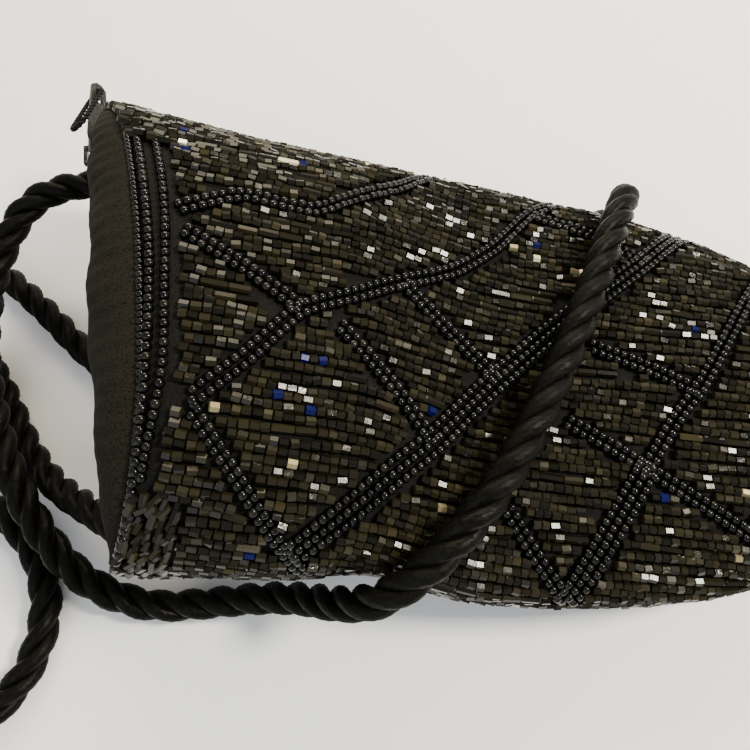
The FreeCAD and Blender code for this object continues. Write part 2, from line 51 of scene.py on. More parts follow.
def make_camera():
    pitch, yaw, roll = math.radians(PITCH), math.radians(YAW), math.radians(ROLL)
    forward = Vector((math.sin(yaw) * math.cos(pitch), math.cos(yaw) * math.cos(pitch), -math.sin(pitch)))
    level = Vector((math.cos(yaw), -math.sin(yaw), 0.0))
    above = level.cross(forward)
    right = level * math.cos(roll) + above * math.sin(roll)
    up = above * math.cos(roll) - level * math.sin(roll)
    data = bpy.data.cameras.new("camera")
    data.sensor_width, data.lens = SENSOR, LENS
    data.clip_start, data.clip_end = 0.01, 50.0
    camera = bpy.data.objects.new("camera", data)
    scene.collection.objects.link(camera)
    turn = Matrix((right, up, -forward)).transposed().to_4x4()
    camera.matrix_world = Matrix.Translation(CAMERA_PLACE) @ turn
    scene.camera = camera


make_camera()

# ---------------------------------------------------------------- the bag's outer skin, as in CAD
LENGTH, MOUTH_X = 214.0, -110.0
TIP_X, ROUND_X = MOUTH_X + LENGTH, MOUTH_X + 84.0
MOUTH_HALF, BODY_HALF = 66.0, 59.5
TOP_Z, BODY_TOP, ZIP_Z, TIP_Z, LIFT = 74.0, 44.0, 44.0, 22.0, 12.5
BEAD_LAYER = 1.3  # the fabric lies this far inside the outline, under its beads
TABLE_GAP = 0.25  # room under the beads that lie on the table
SKEW = math.radians(16.0)
SQUARE_X = MOUTH_X + 130.0  # from here on the bag's cross sections stand square to it
CREST_FROM, CREST_TO = MOUTH_X + 14.0, MOUTH_X + 125.0  # the front comes down between these
FRONT_ROUND_X, BACK_ROUND_X = MOUTH_X + 130.0, ROUND_X + 20.0  # each side thins to the tip from here
FRONT_POWER, BACK_POWER = 2.2, 3.0  # superellipses of the two sides
PRESSED = 0.7  # the back's outline goes this far under the table, where it is pressed flat
WAIST_X, WAIST_DEEP, WAIST_LONG = -44.0, 4.0, 18.0  # where the strap draws in the near side
GUSSET_START, GUSSET_DEPTH, ZIP_HALF_GAP = 1.5, 17.5, 7.0


def ease(value, low, high):
    part = np.clip((value - low) / (high - low), 0.0, 1.0)
    return part * part * (3.0 - 2.0 * part)


def rounding(x, start):
    part = np.clip((x - start) / (TIP_X - start), 0.0, 1.0)
    return (1.0 - part**2.5) ** 0.4


def seam_height(x):
    return ZIP_Z + (TIP_Z - ZIP_Z) * (x - MOUTH_X) / LENGTH


def to_mouth(points):
    """Into the mouth's frame: x into the bag, y along the zip, z up from it."""
    q = np.asarray(points, float) - np.array([MOUTH_X, 0.0, ZIP_Z])
    c, s = math.cos(SKEW), math.sin(SKEW)
    return np.stack([q[..., 0] * c + q[..., 1] * s, q[..., 1] * c - q[..., 0] * s, q[..., 2]], -1)


def from_mouth(points):
    p = np.asarray(points, float)
    c, s = math.cos(SKEW), math.sin(SKEW)
    x = p[..., 0] * c - p[..., 1] * s + MOUTH_X
    return np.stack([x, p[..., 0] * s + p[..., 1] * c, p[..., 2] + ZIP_Z], -1)


def unit(vectors):
    return vectors / np.maximum(np.linalg.norm(vectors, axis=-1, keepdims=True), 1e-9)


def run_along(path):
    """How far along the path each of its points is."""
    return np.concatenate([[0.0], np.cumsum(np.linalg.norm(np.diff(path, axis=0), axis=1))])


def between(places, run, path):
    """The path's values at places, where run says how far along its own points are."""
    return np.stack([np.interp(places, run, path[:, k]) for k in range(path.shape[1])], -1)


class Skin:
    """Front (1) or back (-1) of the bag.

    f runs -1 to 1 from the near seam to the far one, by length over the fabric.
    """

    def __init__(self, side):
        self.side = side
        self.xs = np.linspace(MOUTH_X - 26.0, TIP_X - 0.02, 256)
        self.fs = np.linspace(-1.0, 1.0, 161)
        self.halves = np.zeros(len(self.xs))
        self.table = np.zeros((len(self.xs), len(self.fs), 3))
        for i, x in enumerate(self.xs):
            self.table[i], self.halves[i] = self.ring(x)
        self.table += self.find_normals() * (self.softness() - BEAD_LAYER)[..., None]
        self.table[..., 2] = np.maximum(self.table[..., 2], BEAD_LAYER + TABLE_GAP)
        self.normals = self.find_normals()
        self.starts = np.array([self.first_inside(j) for j in range(len(self.fs))])

    def ring(self, x):
        flare = math.exp((MOUTH_X - x) / 35.0)
        half = (BODY_HALF + (MOUTH_HALF - BODY_HALF) * flare) * rounding(x, ROUND_X)
        seam = seam_height(x)
        crest = TOP_Z + (BODY_TOP - TOP_Z) * ease(x, CREST_FROM, CREST_TO)
        reach, power = (crest - seam) * rounding(x, FRONT_ROUND_X), FRONT_POWER
        if self.side < 0:
            lifted = LIFT * (1.0 - ease(x, MOUTH_X + 30.0, MOUTH_X + 80.0))
            low = lifted - PRESSED * ease(x, MOUTH_X + 60.0, MOUTH_X + 85.0)
            reach, power = (seam - low) * rounding(x, BACK_ROUND_X), BACK_POWER
        turn = SKEW * (1.0 - ease(x, MOUTH_X, SQUARE_X))
        angle = np.linspace(math.pi, 0.0, 721)
        across, up = np.cos(angle), np.abs(np.sin(angle))
        y = half * np.sign(across) * np.abs(across) ** (2.0 / power)
        waist = WAIST_DEEP * math.exp(-(((x - WAIST_X) / WAIST_LONG) ** 2))
        y = y + waist * np.maximum(-across, 0.0) ** 2
        z = seam + self.side * reach * up ** (2.0 / power)
        points = np.stack([x - y * math.sin(turn), y * math.cos(turn), z], -1)
        run = run_along(points)
        share = run / run[-1] * 2.0 - 1.0
        return between(self.fs, share, points), run[-1] / 2.0

    def find_normals(self):
        normal = np.cross(np.gradient(self.table, axis=0), np.gradient(self.table, axis=1))
        return unit(normal * self.side)

    def softness(self):
        """How far the fabric stands out or sinks in: slow unevenness, and a pinch along the seam."""
        x, f = self.xs[:, None], self.fs[None, :]
        wave = 0.45 * np.sin(x / 15.0 + 3.1 * f) * np.cos(4.3 * f - x / 27.0)
        wave = wave + 0.3 * np.sin(x / 8.0 - 5.0 * f + 1.3) * np.sin(7.0 * f + 0.4)
        edge = (1.0 - np.abs(f)) * self.halves[:, None]
        return wave * np.clip(edge / 14.0, 0.0, 1.0) - 1.0 * np.exp(-((edge / 2.6) ** 2))

    def inside(self, points):
        """Distance behind the plane that cuts the mouth's edge."""
        m = to_mouth(points)
        reach = TOP_Z - ZIP_Z if self.side > 0 else ZIP_Z - LIFT
        slope = math.atan2(reach - ZIP_HALF_GAP, GUSSET_DEPTH - GUSSET_START)
        depth, height = m[..., 0] - GUSSET_START, m[..., 2] * self.side - ZIP_HALF_GAP
        return np.minimum(depth * math.sin(slope) - height * math.cos(slope), depth)

    def first_inside(self, j):
        d = self.inside(self.table[:, j])
        k = int(np.argmax(d > 0))
        return self.xs[k - 1] - d[k - 1] / (d[k] - d[k - 1]) * (self.xs[k] - self.xs[k - 1])

    def half(self, x):
        return np.interp(x, self.xs, self.halves)

    def start(self, f):
        return np.interp(f, self.fs, self.starts)

    def sample(self, x, f):
        """Points and outward normals at arrays of x and f."""
        x, f = np.broadcast_arrays(np.asarray(x, float), np.asarray(f, float))
        i = np.clip((x - self.xs[0]) / (self.xs[1] - self.xs[0]), 0, len(self.xs) - 1.001)
        j = np.clip((f + 1.0) / (self.fs[1] - self.fs[0]), 0, len(self.fs) - 1.001)
        i0, j0 = i.astype(int), j.astype(int)
        u, v = (i - i0)[..., None], (j - j0)[..., None]
        out = []
        for grid in (self.table, self.normals):
            low = grid[i0, j0] * (1 - v) + grid[i0, j0 + 1] * v
            high = grid[i0 + 1, j0] * (1 - v) + grid[i0 + 1, j0 + 1] * v
            out.append(low * (1 - u) + high * u)
        return out[0], unit(out[1])

    def at(self, x, s):
        """The same, for s in mm over the fabric from its middle line."""
        return self.sample(x, np.clip(np.asarray(s, float) / self.half(x), -1.0, 1.0))


FRONT, BACK = Skin(1), Skin(-1)


# ---------------------------------------------------------------- mesh helpers
def make_mesh(name, verts, faces, smooth=True):
    mesh = bpy.data.meshes.new(name)
    mesh.from_pydata((np.asarray(verts, float) * MM).tolist(), [], faces)
    mesh.update()
    mesh.polygons.foreach_set("use_smooth", np.full(len(mesh.polygons), smooth))
    obj = bpy.data.objects.new(name, mesh)
    scene.collection.objects.link(obj)
    return obj


def grid_faces(rows, cols, flip=False, closed=False):
    faces = []
    for i in range(rows - 1):
        for j in range(cols if closed else cols - 1):
            k = (j + 1) % cols
            face = [i * cols + j, i * cols + k, (i + 1) * cols + k, (i + 1) * cols + j]
            faces.append(face[::-1] if flip else face)
    return faces


def lathe(profile, segments):
    """A template bead along its own x: rings of (x, radius), with both ends closed."""
    verts, faces, count = [], [], len(profile)
    for x, radius in profile:
        for k in range(segments):
            angle = 2 * math.pi * k / segments
            verts.append((x, radius * math.cos(angle), radius * math.sin(angle)))
    faces += grid_faces(count, segments, flip=True, closed=True)
    faces.append(list(range(segments)))
    faces.append(list(range((count - 1) * segments, count * segments))[::-1])
    return np.array(verts), faces


# Radii are shares of the bead's radius and x shares of its length.
HEX_BEAD = lathe([(-0.5, 0.80), (-0.44, 1.0), (0.44, 1.0), (0.5, 0.80)], 6)
PLAIN_HEX = lathe([(-0.5, 1.0), (0.5, 1.0)], 6)
SEED_BEAD = lathe([(-0.48, 0.42), (-0.40, 0.80), (-0.16, 1.0), (0.16, 1.0), (0.40, 0.80), (0.48, 0.42)], 10)


def thread_beads(name, template, beads, smooth, body="bag"):
    """One mesh of many beads, each given as (centre, axis, normal, length, radius, roll, tint)."""
    verts, faces = template
    centre, axis, normal = (np.array([b[k] for b in beads]) for k in range(3))
    length, radius, roll, tint = (np.array([b[k] for b in beads], float) for k in range(3, 7))
    axis = unit(axis)
    normal = unit(normal - axis * np.sum(axis * normal, -1, keepdims=True))
    side = np.cross(axis, normal)
    c, s = np.cos(roll)[:, None], np.sin(roll)[:, None]
    first, second = normal * c + side * s, side * c - normal * s
    points = centre[:, None, :] + axis[:, None, :] * (verts[None, :, 0:1] * length[:, None, None])
    points = points + first[:, None, :] * (verts[None, :, 1:2] * radius[:, None, None])
    points = points + second[:, None, :] * (verts[None, :, 2:3] * radius[:, None, None])
    lows = np.arange(len(beads)) * len(verts)
    everything = [[v + low for v in face] for low in lows.tolist() for face in faces]
    obj = make_mesh(name, points.reshape(-1, 3), everything, smooth)
    values = obj.data.attributes.new("tint", "FLOAT", "POINT")
    values.data.foreach_set("value", np.repeat(tint, len(verts)))
    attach(obj, body)
    return obj


def along(path, pitch, offset=0.0):
    """Points at even steps along a polyline."""
    run = run_along(path)
    return between(np.arange(offset, run[-1], pitch), run, path)


def softened(corners, step=1.0, passes=14):
    """A polyline through corners, in even steps, with its corners eased."""
    line = np.array(corners, float)
    run = run_along(line)
    count = max(int(run[-1] / step), 2) + 1
    line = between(np.linspace(0, run[-1], count), run, line)
    for _ in range(passes):
        line[1:-1] = line[1:-1] * 0.5 + (line[:-2] + line[2:]) * 0.25
    return line


# ---------------------------------------------------------------- the pattern: lines of seed beads
# Places where lines of the front meet, as (x, s), with s in mm over the fabric from its middle line.
AT_MOUTH, UPPER_FORK, UPPER_MIDDLE, UPPER_FAR = (-84, -29.5), (-58, -3), (-34, 11.5), (1, 49.5)
LOWER_FORK, LOWER_MIDDLE, CENTRE, SLANT_FAR = (-65, -61.5), (-26, -27), (-9, -7), (33.5, 37)
STAR, STAR_ARM, FAR_FORK, FAR_MEET = (30, -24.5), (44, -2.5), (63.5, 30.5), (78, -6)
NEAR_TURN, FAR_TURN = (12, -58.5), (56, -37.5)
# Each line: rows of beads side by side, then its corners.
FRONT_LINES = [
    (2, [AT_MOUTH, (-70, -17), UPPER_FORK, (-46, 3), UPPER_MIDDLE, (-20, 21), (-9, 33), UPPER_FAR,
         (9.6, 58.5), (20, 72)]),
    (2, [AT_MOUTH, (-74, -45), LOWER_FORK, (-58, -76)]),
    (3, [LOWER_FORK, (-45, -45), LOWER_MIDDLE, CENTRE, (8.5, 12), SLANT_FAR, (52, 58)]),
    (2, [UPPER_FORK, (-70, 5), (-84, 12)]),
    (2, [(-86, 16), (-70, 26.5), (-54, 25.5), (-34, 45.5), (-20, 68)]),
    (2, [(-49, -5.5), (-37, -16.5), LOWER_MIDDLE]),
    (2, [UPPER_MIDDLE, (-21, 2), CENTRE]),
    (2, [STAR, (38, -10), STAR_ARM, (50, 8), FAR_FORK, (76, 46)]),
    (2, [STAR, (43, -31), FAR_TURN, (72, -48)]),
    (3, [STAR, (21, -41), NEAR_TURN, (6, -76)]),
    (2, [STAR, (19, -19), (8.5, -14.5)]),
    (2, [NEAR_TURN, (2, -48), (-7, -37)]),
    (2, [(16, 6.5), (30, 2.5), STAR_ARM]),
    (2, [FAR_FORK, (72, 12), FAR_MEET, (92, -16)]),
    (2, [FAR_TURN, (68, -22), FAR_MEET]),
    (2, [SLANT_FAR, (18, 45), UPPER_FAR]),
]
BACK_LINES = [
    (2, [(-84, -60), (-56, -30), (-28, 0), (0, 30), (28, 60)]),
    (2, [(-84, 0), (-56, 30), (-28, 60)]),
    (2, [(-40, -70), (-28, -60), (0, -30), (28, 0), (56, 30), (70, 44)]),
    (2, [(28, -60), (56, -30), (84, 0)]),
    (2, [(-84, 60), (-56, 30), (-28, 0), (0, -30), (28, -60)]),
    (2, [(-84, 0), (-56, -30), (-28, -60)]),
    (2, [(-28, 60), (0, 30), (28, 0), (56, -30), (70, -44)]),
    (2, [(28, 60), (56, 30), (84, 0)]),
]
SEED_PITCH, SEED_RADIUS, ROW_GAP = 2.15, 1.14, 2.3
SEED_LONG, SEED_LIFT = 1.75, 0.75  # a seed bead's length and its height over the fabric, in radii
SEED_SPREAD = (0.93, 1.06)
LOWEST = 1.5  # edge beads lower than this are left out, where the bag lies on the table
CHUNKY_FROM, LOOSE_FROM = 0.52, -0.66  # beyond these shares the mouth's edge has other beads


def pattern_beads(skin, lines):
    """Seed beads of the pattern, and the (x, s) that the rows keep off, with their reach."""
    beads, kept, reach = [], [], []
    for rows, corners in lines:
        line = softened(corners)
        line = line[np.abs(line[:, 1]) < skin.half(line[:, 0]) - 1.0]
        heading = unit(np.gradient(line, axis=0))
        across = np.stack([-heading[:, 1], heading[:, 0]], -1)
        kept.append(line)
        reach.append(np.full(len(line), rows * ROW_GAP / 2 + 0.75))
        for row in range(rows):
            lane = line + across * ((row - (rows - 1) / 2) * ROW_GAP)
            lane = lane[(np.abs(lane[:, 1]) < skin.half(lane[:, 0]) - 0.8) & (lane[:, 0] < TIP_X - 2)]
            points, normals = skin.at(lane[:, 0], lane[:, 1])
            both = along(np.hstack([points, normals]), SEED_PITCH, rng.uniform(0, 1))
            if len(both) < 3:
                continue
            places, out = both[:, :3], unit(both[:, 3:])
            keep = skin.inside(places) > 8.0
            axes = np.gradient(places, axis=0)
            for p, n, a in zip(places[keep], out[keep], axes[keep]):
                size = SEED_RADIUS * rng.uniform(*SEED_SPREAD)
                centre = p + n * (size * SEED_LIFT + rng.uniform(-0.1, 0.15))
                axis = a + rng.normal(0, 0.05, 3)
                beads.append((centre, axis, n, size * SEED_LONG, size, 0.0, rng.uniform()))
    return beads, np.vstack(kept), np.concatenate(reach)


def border_beads(skin, offset, low, high, radius, drift=None):
    """A column of seed beads at an offset from the mouth's edge."""
    f = np.linspace(low, high, 260)
    x = skin.start(f) + (offset if drift is None else offset + drift(f))
    points, normals = skin.sample(x, f)
    both = along(np.hstack([points, normals]), radius * 1.86)
    places, out = both[:, :3], unit(both[:, 3:])
    axes = np.gradient(places, axis=0)
    beads = []
    for p, n, a in zip(places, out, axes):
        if p[2] < LOWEST:
            continue
        size = radius * rng.uniform(*SEED_SPREAD)
        axis = a + rng.normal(0, 0.05, 3)
        beads.append((p + n * size * SEED_LIFT, axis, n, size * SEED_LONG, size, 0.0, rng.uniform()))
    return beads


ROW_PITCH, ROWS_REACH = 2.36, 95
BEAD_LENGTHS, BUGLE_LENGTHS = [1.9, 2.05, 2.2, 2.35], (4.6, 6.2)
BEAD_RADII, BUGLE_RADIUS = (1.10, 1.21), 1.0
BUGLE_CHANCE, BUGLE_RUN = 0.022, (2, 7)
THREAD_GAP = 0.12  # bare thread between two beads
BUGLE_ROOM = 1.6  # a long bead keeps this much further off the pattern


def row_places(skin, row, margin):
    """x, s and f along a slightly wavy row, where there is fabric for it."""
    xs = np.arange(MOUTH_X - 24, TIP_X - 1.5, 0.5)
    s = (row + 0.5) * ROW_PITCH + 0.35 * np.sin(xs / 13.0 + row) + 0.2 * np.sin(xs / 5.0 + 2.2 * row)
    f = np.clip(s / skin.half(xs), -1, 1)
    ok = (np.abs(s) < skin.half(xs) - 0.7) & (xs > skin.start(f) + margin(f))
    return xs[ok], s[ok], f[ok]


def field_beads(skin, kept, reach, margin):
    """Rows of hexagonal beads along the bag, short ones and runs of long bugles."""
    short, long = [], []
    count = int(ROWS_REACH / ROW_PITCH)
    for row in range(-count, count + 1):
        xs, s, f = row_places(skin, row, margin)
        if len(xs) < 6:
            continue
        points, normals = skin.sample(xs, f)
        run = run_along(points)
        place, bugles = rng.uniform(0, 1.5), 0
        while place < run[-1] - 1.2:
            if bugles == 0 and rng.uniform() < BUGLE_CHANCE:
                bugles = int(rng.integers(*BUGLE_RUN))
            bugle = bugles > 0
            if bugle:
                length, bugles = rng.uniform(*BUGLE_LENGTHS), bugles - 1
            else:
                length = rng.choice(BEAD_LENGTHS) * rng.uniform(0.96, 1.04)
            middle = place + length / 2
            if middle + length / 2 > run[-1] + 0.6:
                break
            x_here, s_here = np.interp(middle, run, xs), np.interp(middle, run, s)
            gap = (kept[:, 0] - x_here) ** 2 + (kept[:, 1] - s_here) ** 2
            place += length + THREAD_GAP
            if (gap < (reach + BUGLE_ROOM if bugle else reach) ** 2).any():
                bugles = 0
                continue
            n = between(middle, run, normals)
            a, b = (between(middle + d, run, points) for d in (-0.8, 0.8))
            radius = BUGLE_RADIUS if bugle else rng.uniform(*BEAD_RADII)
            axis = unit(b - a) + rng.normal(0, 0.03 if bugle else 0.085, 3)
            centre = between(middle, run, points) + n * (radius * 0.72 + rng.uniform(-0.12, 0.22))
            bead = (centre, axis, n, length, radius, rng.uniform(0, math.pi / 3), rng.uniform())
            (long if bugle else short).append(bead)
    return short, long


def first_drift(f):
    """The first column closes on the edge towards the near corner."""
    return -1.8 * ease(-f, -0.1, 0.55)


def merge_drift(f):
    """The second column runs into the first towards the near corner."""
    return -1.6 * ease(-f, -0.36, 0.24) - 2.9 * ease(-f, 0.2, 0.62)


def front_margin(f):
    """How far from the mouth's edge the rows begin."""
    margin = 9.0 + merge_drift(f)
    margin = np.where(f < LOOSE_FROM, 12.0, margin)
    return np.where(f > CHUNKY_FROM, 9.0, margin)


LOOSE_SHARE, LOOSE_STEP = 2.1 / 78.0, 2.5  # steps along the mouth's edge, as a share, and into the bag


def loose_beads(skin, low, high, reach, lengths, radius, slant):
    """Larger beads sewn slantwise where the mouth's edge meets the seam."""
    beads = []
    for f in np.arange(low, high, LOOSE_SHARE):
        for x in np.arange(0.8, reach, LOOSE_STEP):
            ff = f + rng.uniform(-0.006, 0.006)
            xx = float(skin.start(ff)) + x + rng.uniform(-0.5, 0.5)
            p, n = skin.sample(np.array([xx]), np.array([ff]))
            q, _ = skin.sample(np.array([xx + 1.0]), np.array([ff + slant * rng.uniform(0.4, 1.5)]))
            size = radius * rng.uniform(0.9, 1.1)
            length = rng.uniform(*lengths)
            centre = p[0] + n[0] * (size * 0.8 + rng.uniform(-0.1, 0.4))
            if centre[2] < LOWEST:
                continue
            axis = (q - p)[0] + rng.normal(0, 0.12, 3)
            beads.append((centre, axis, n[0], length, size, rng.uniform(0, 1), rng.uniform()))
    return beads


front_pattern, front_kept, front_reach = pattern_beads(FRONT, FRONT_LINES)
back_pattern, back_kept, back_reach = pattern_beads(BACK, BACK_LINES)
front_short, front_long = field_beads(FRONT, front_kept, front_reach, front_margin)
back_short, back_long = field_beads(BACK, back_kept, back_reach, lambda f: f * 0 + 6.0)

front_border = []
front_border += border_beads(FRONT, 2.4, -0.90, CHUNKY_FROM + 0.03, 1.15, first_drift)
front_border += border_beads(FRONT, 6.6, -0.60, CHUNKY_FROM + 0.06, 1.15, merge_drift)
front_edge = border_beads(FRONT, 0.1, -0.93, 0.93, 0.85)
back_border = []
for offset in (1.9, 4.0):
    back_border += border_beads(BACK, offset, -0.93, 0.93, 1.15)
corner = loose_beads(FRONT, CHUNKY_FROM, 0.985, 9.0, (2.4, 3.2), 1.3, 0.0)
loose = loose_beads(FRONT, -0.965, LOOSE_FROM, 12.0, (2.3, 4.4), 0.95, 0.022)

bead_fields = [
    thread_beads("front_bead_rows", HEX_BEAD, front_short, False),
    thread_beads("front_bugle_rows", HEX_BEAD, front_long, False),
    thread_beads("back_bead_rows", PLAIN_HEX, back_short, False),
    thread_beads("back_bugle_rows", HEX_BEAD, back_long, False),
    thread_beads("far_corner_beads", HEX_BEAD, corner, False),
    thread_beads("near_corner_beads", HEX_BEAD, loose, False),
]
seed_pieces = {name: thread_beads(name, SEED_BEAD, beads, True) for name, beads in (
    ("front_pattern_beads", front_pattern), ("back_pattern_beads", back_pattern),
    ("front_border_beads", front_border), ("back_border_beads", back_border),
    ("mouth_edge_beads", front_edge),
)}
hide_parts("front_mouth_beads")
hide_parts("back_mouth_beads")


# ---------------------------------------------------------------- the panels' fabric and the gussets
def panel_fabric(name, skin, node):
    steps, across = 130, 121
    f = np.linspace(-1, 1, across)
    u = np.linspace(0, 1, steps)[:, None]
    x = skin.start(f)[None, :] + u * (TIP_X - 0.3 - skin.start(f))[None, :]
    points, _ = skin.sample(x, np.broadcast_to(f[None, :], x.shape))
    obj = make_mesh(name, points.reshape(-1, 3), grid_faces(steps, across, flip=skin.side < 0))
    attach(obj, "bag")
    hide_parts(node)
    return obj


TAPE_DEPTH, TAPE_HALF, TAPE_SHARE = 1.7, 6.6, 0.965  # where the crepe meets the zip's tape


def gusset(name, skin, node, swell):
    """Crepe from the panel's mouth edge to the zip tape, puffed out over the zip and puckered at its seam."""
    across, steps = 181, 33
    f = np.linspace(-0.985, 0.985, across)
    edge, _ = skin.sample(skin.start(f), f)
    m = to_mouth(edge)
    depth, height = np.full(across, TAPE_DEPTH), np.full(across, TAPE_HALF * skin.side)
    tape = np.stack([depth, m[:, 1] * TAPE_SHARE, height], -1)
    out = np.array([-(TOP_Z - ZIP_Z - ZIP_HALF_GAP), 0.0, skin.side * (GUSSET_DEPTH - GUSSET_START)])
    out = out / np.linalg.norm(out)
    t = np.linspace(0, 1, steps)[:, None, None]
    flat = m[None] * (1 - t) + tape[None] * t
    share = (m[:, 1] / MOUTH_HALF)[None, :, None]
    puff = swell * np.sin(math.pi * t**0.9) ** 0.85 * (1 - np.abs(share) ** 3.2)
    pucker = 0.28 * np.sin(share * 95.0) * (1 - t) ** 4 * t * 8
    fold = 0.45 * np.sin(share * 9.0 + t * 5.0) * np.sin(math.pi * t)
    fold = fold + 0.3 * np.sin(share * 23.0 - t * 7.0) * np.sin(math.pi * t)
    points = from_mouth(flat + out * (puff + pucker + fold * (1 - np.abs(share) ** 4)))
    obj = make_mesh(name, points.reshape(-1, 3), grid_faces(steps, across, flip=skin.side > 0))
    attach(obj, "bag")
    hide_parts(node)
    return obj


front_fabric = panel_fabric("front_fabric", FRONT, "front_panel")
back_fabric = panel_fabric("back_fabric", BACK, "back_panel")
front_crepe = gusset("front_crepe", FRONT, "front_gusset", 7.5)
back_crepe = gusset("back_crepe", BACK, "back_gusset", 3.0)

# ---------------------------------------------------------------- strap
ROPE = 4.2  # its radius
END_LONG, END_HALF, END_HEIGHT = 7.0, 4.7, -12.5
CREPE_THICK = 1.4  # with the room on both sides of it
BACK_SLOPE = math.atan2(ZIP_Z - LIFT - ZIP_HALF_GAP, GUSSET_DEPTH - GUSSET_START)
END_DEPTH = GUSSET_START + (-END_HEIGHT - ZIP_HALF_GAP) / math.tan(BACK_SLOPE)
END_DEPTH -= CREPE_THICK / math.sin(BACK_SLOPE) + END_HALF / math.tan(BACK_SLOPE) * 0.9


def rope_end(along_zip, turn, dip):
    """Foot, heading and exit of a bound end, as the CAD has them."""
    turn, dip = math.radians(turn) + SKEW, math.radians(dip)
    c, s = math.cos(turn), math.sin(turn)
    heading = Vector((-math.cos(dip) * c, -math.cos(dip) * s, -math.sin(dip)))
    foot = Vector(from_mouth(np.array([END_DEPTH, along_zip, END_HEIGHT])).tolist())
    return foot, heading, foot + heading * END_LONG


far_foot, far_heading, far_exit = rope_end(53, -8, 0)
near_foot, near_heading, near_exit = rope_end(-57, -36, 33)
REST = ROPE + 0.1
ROUTE = [
    # out of the far corner of the mouth and down beside it
    tuple(far_exit), tuple(far_exit + far_heading * 11), (-155, 41, 29), (-162, 22, 22), (-161, 1, 18),
    (-153, -18, 17.5), (-142, -36, 17.5), (-130, -52, 15.5), (-115, -66, 10), (-97, -71, 5), (-80, -68, 5.5),
    (-66, -65, 10),
    # up the near side, over the front panel and down the far side
    (-53, -63.5, 18), (-42, -64, 31), (-31.5, -62, 44.5), (-19, -50, 53), (-7.5, -33, 54.5), (2, -13, 52.5),
    (9, 5, 51.5), (15.5, 23, 50), (21.5, 41, 47.5), (28, 57.5, 42), (33, 66.5, 30), (35, 69, 15), (22, 70, 5),
    # along the back, and under the lifted mouth
    (2, 71, REST), (-20, 75, REST), (-41, 75, REST), (-60, 62, REST), (-73, 40, REST), (-78, 20, REST),
    (-88, 3, REST), (-103.5, -6, REST), (-121.5, -5.2, REST), (-137, 4, REST), (-152, 16, REST),
    (-170, 28, REST),
    # a wide loop round the near end of the strap
    (-190, 38, REST), (-214, 42, REST), (-236, 30, REST), (-248, 7, REST), (-251, -22, REST),
    (-247, -52, REST), (-235, -80, REST), (-215, -103, REST), (-189, -117, REST), (-161, -119, REST),
    (-137, -108, REST), (-125, -93, REST), (-123.5, -76, REST), (-131, -60, REST), (-146, -49, REST),
    (-165, -45, REST), (-185, -43.5, REST), (-205, -44, REST), (-220, -33.3, REST), (-225.4, -16, REST),
    (-220, 1.3, REST), (-205, 12, REST), (-187, 12, REST), (-171, 2, REST), (-158, -12, REST),
    (-145, -29.5, REST),
    # up to the near corner of the mouth
    (-130, -41.5, 8.5), tuple(near_exit + near_heading * 13), tuple(near_exit),
]


def route_spline(points):
    data = bpy.data.curves.new("strap_route", "CURVE")
    data.dimensions = "3D"
    data.resolution_u = 14
    spline = data.splines.new("NURBS")
    spline.points.add(len(points) - 1)
    for place, point in zip(spline.points, points):
        place.co = (*(value * MM for value in point), 1.0)
    spline.order_u = 3
    spline.use_endpoint_u = True
    holder = bpy.data.objects.new("strap_route", data)
    scene.collection.objects.link(holder)
    bpy.context.view_layer.update()
    mesh = bpy.data.meshes.new_from_object(holder)
    line = np.array([tuple(v.co) for v in mesh.vertices]) / MM
    bpy.data.objects.remove(holder)
    bpy.data.meshes.remove(mesh)
    return line


def even(line, step):
    """The line in even steps, and how far along it each of them is."""
    run = run_along(line)
    places = np.linspace(0, run[-1], int(run[-1] / step) + 1)
    return between(places, run, line), places


def carried_frames(line):
    """Two directions across a line, carried along it without twist."""
    heading = unit(np.gradient(line, axis=0))
    first = (0.0, 0.0, 1.0)
    up = np.array(first) - heading[0] * np.dot(first, heading[0])
    ups = [up / np.linalg.norm(up)]
    for h in heading[1:]:
        up = ups[-1] - h * np.dot(ups[-1], h)
        ups.append(up / np.linalg.norm(up))
    ups = np.array(ups)
    return ups, np.cross(heading, ups)


def twisted(name, line, places, body, strands, lead, centre, radius, lobes, per_lobe):
    """Strands of yarn wound round a line, each with fine lobes of its own."""
    up, side = carried_frames(line)
    verts, faces, count = [], [], lobes * per_lobe
    angles = np.arange(count) * 2 * math.pi / count
    for strand in range(strands):
        turn = strand * 2 * math.pi / strands + places * 2 * math.pi / lead
        out = up * np.cos(turn)[:, None] + side * np.sin(turn)[:, None]
        middle = line + out * centre
        along_strand = unit(np.gradient(middle, axis=0))
        first = unit(out - along_strand * np.sum(out * along_strand, -1, keepdims=True))
        second = np.cross(along_strand, first)
        own = places * 2 * math.pi / (lead * 0.62)
        ridge = radius * (1 + 0.055 * np.cos(lobes * (angles[None, :] + own[:, None])))
        ring = middle[:, None] + first[:, None] * (ridge * np.cos(angles)[None, :])[..., None]
        ring = ring + second[:, None] * (ridge * np.sin(angles)[None, :])[..., None]
        low = len(verts)
        verts.extend(ring.reshape(-1, 3))
        faces += [[v + low for v in face] for face in grid_faces(len(line), count, flip=True, closed=True)]
        faces.append([low + k for k in range(count)])
        faces.append([low + (len(line) - 1) * count + k for k in range(count)][::-1])
    obj = make_mesh(name, np.array(verts), faces)
    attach(obj, body)
    return obj


centre_line = route_spline(ROUTE)
strap_line, strap_places = even(centre_line, 1.5)
strap = twisted("strap_rope", strap_line, strap_places, "bag",
                strands=3, lead=26.0, centre=2.2, radius=2.12, lobes=9, per_lobe=3)
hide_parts("strap_cord")


BINDING_TURNS, BINDING_STEPS = 9, 6
BINDING_RADIUS, THREAD_RISE = 4.35, 0.36


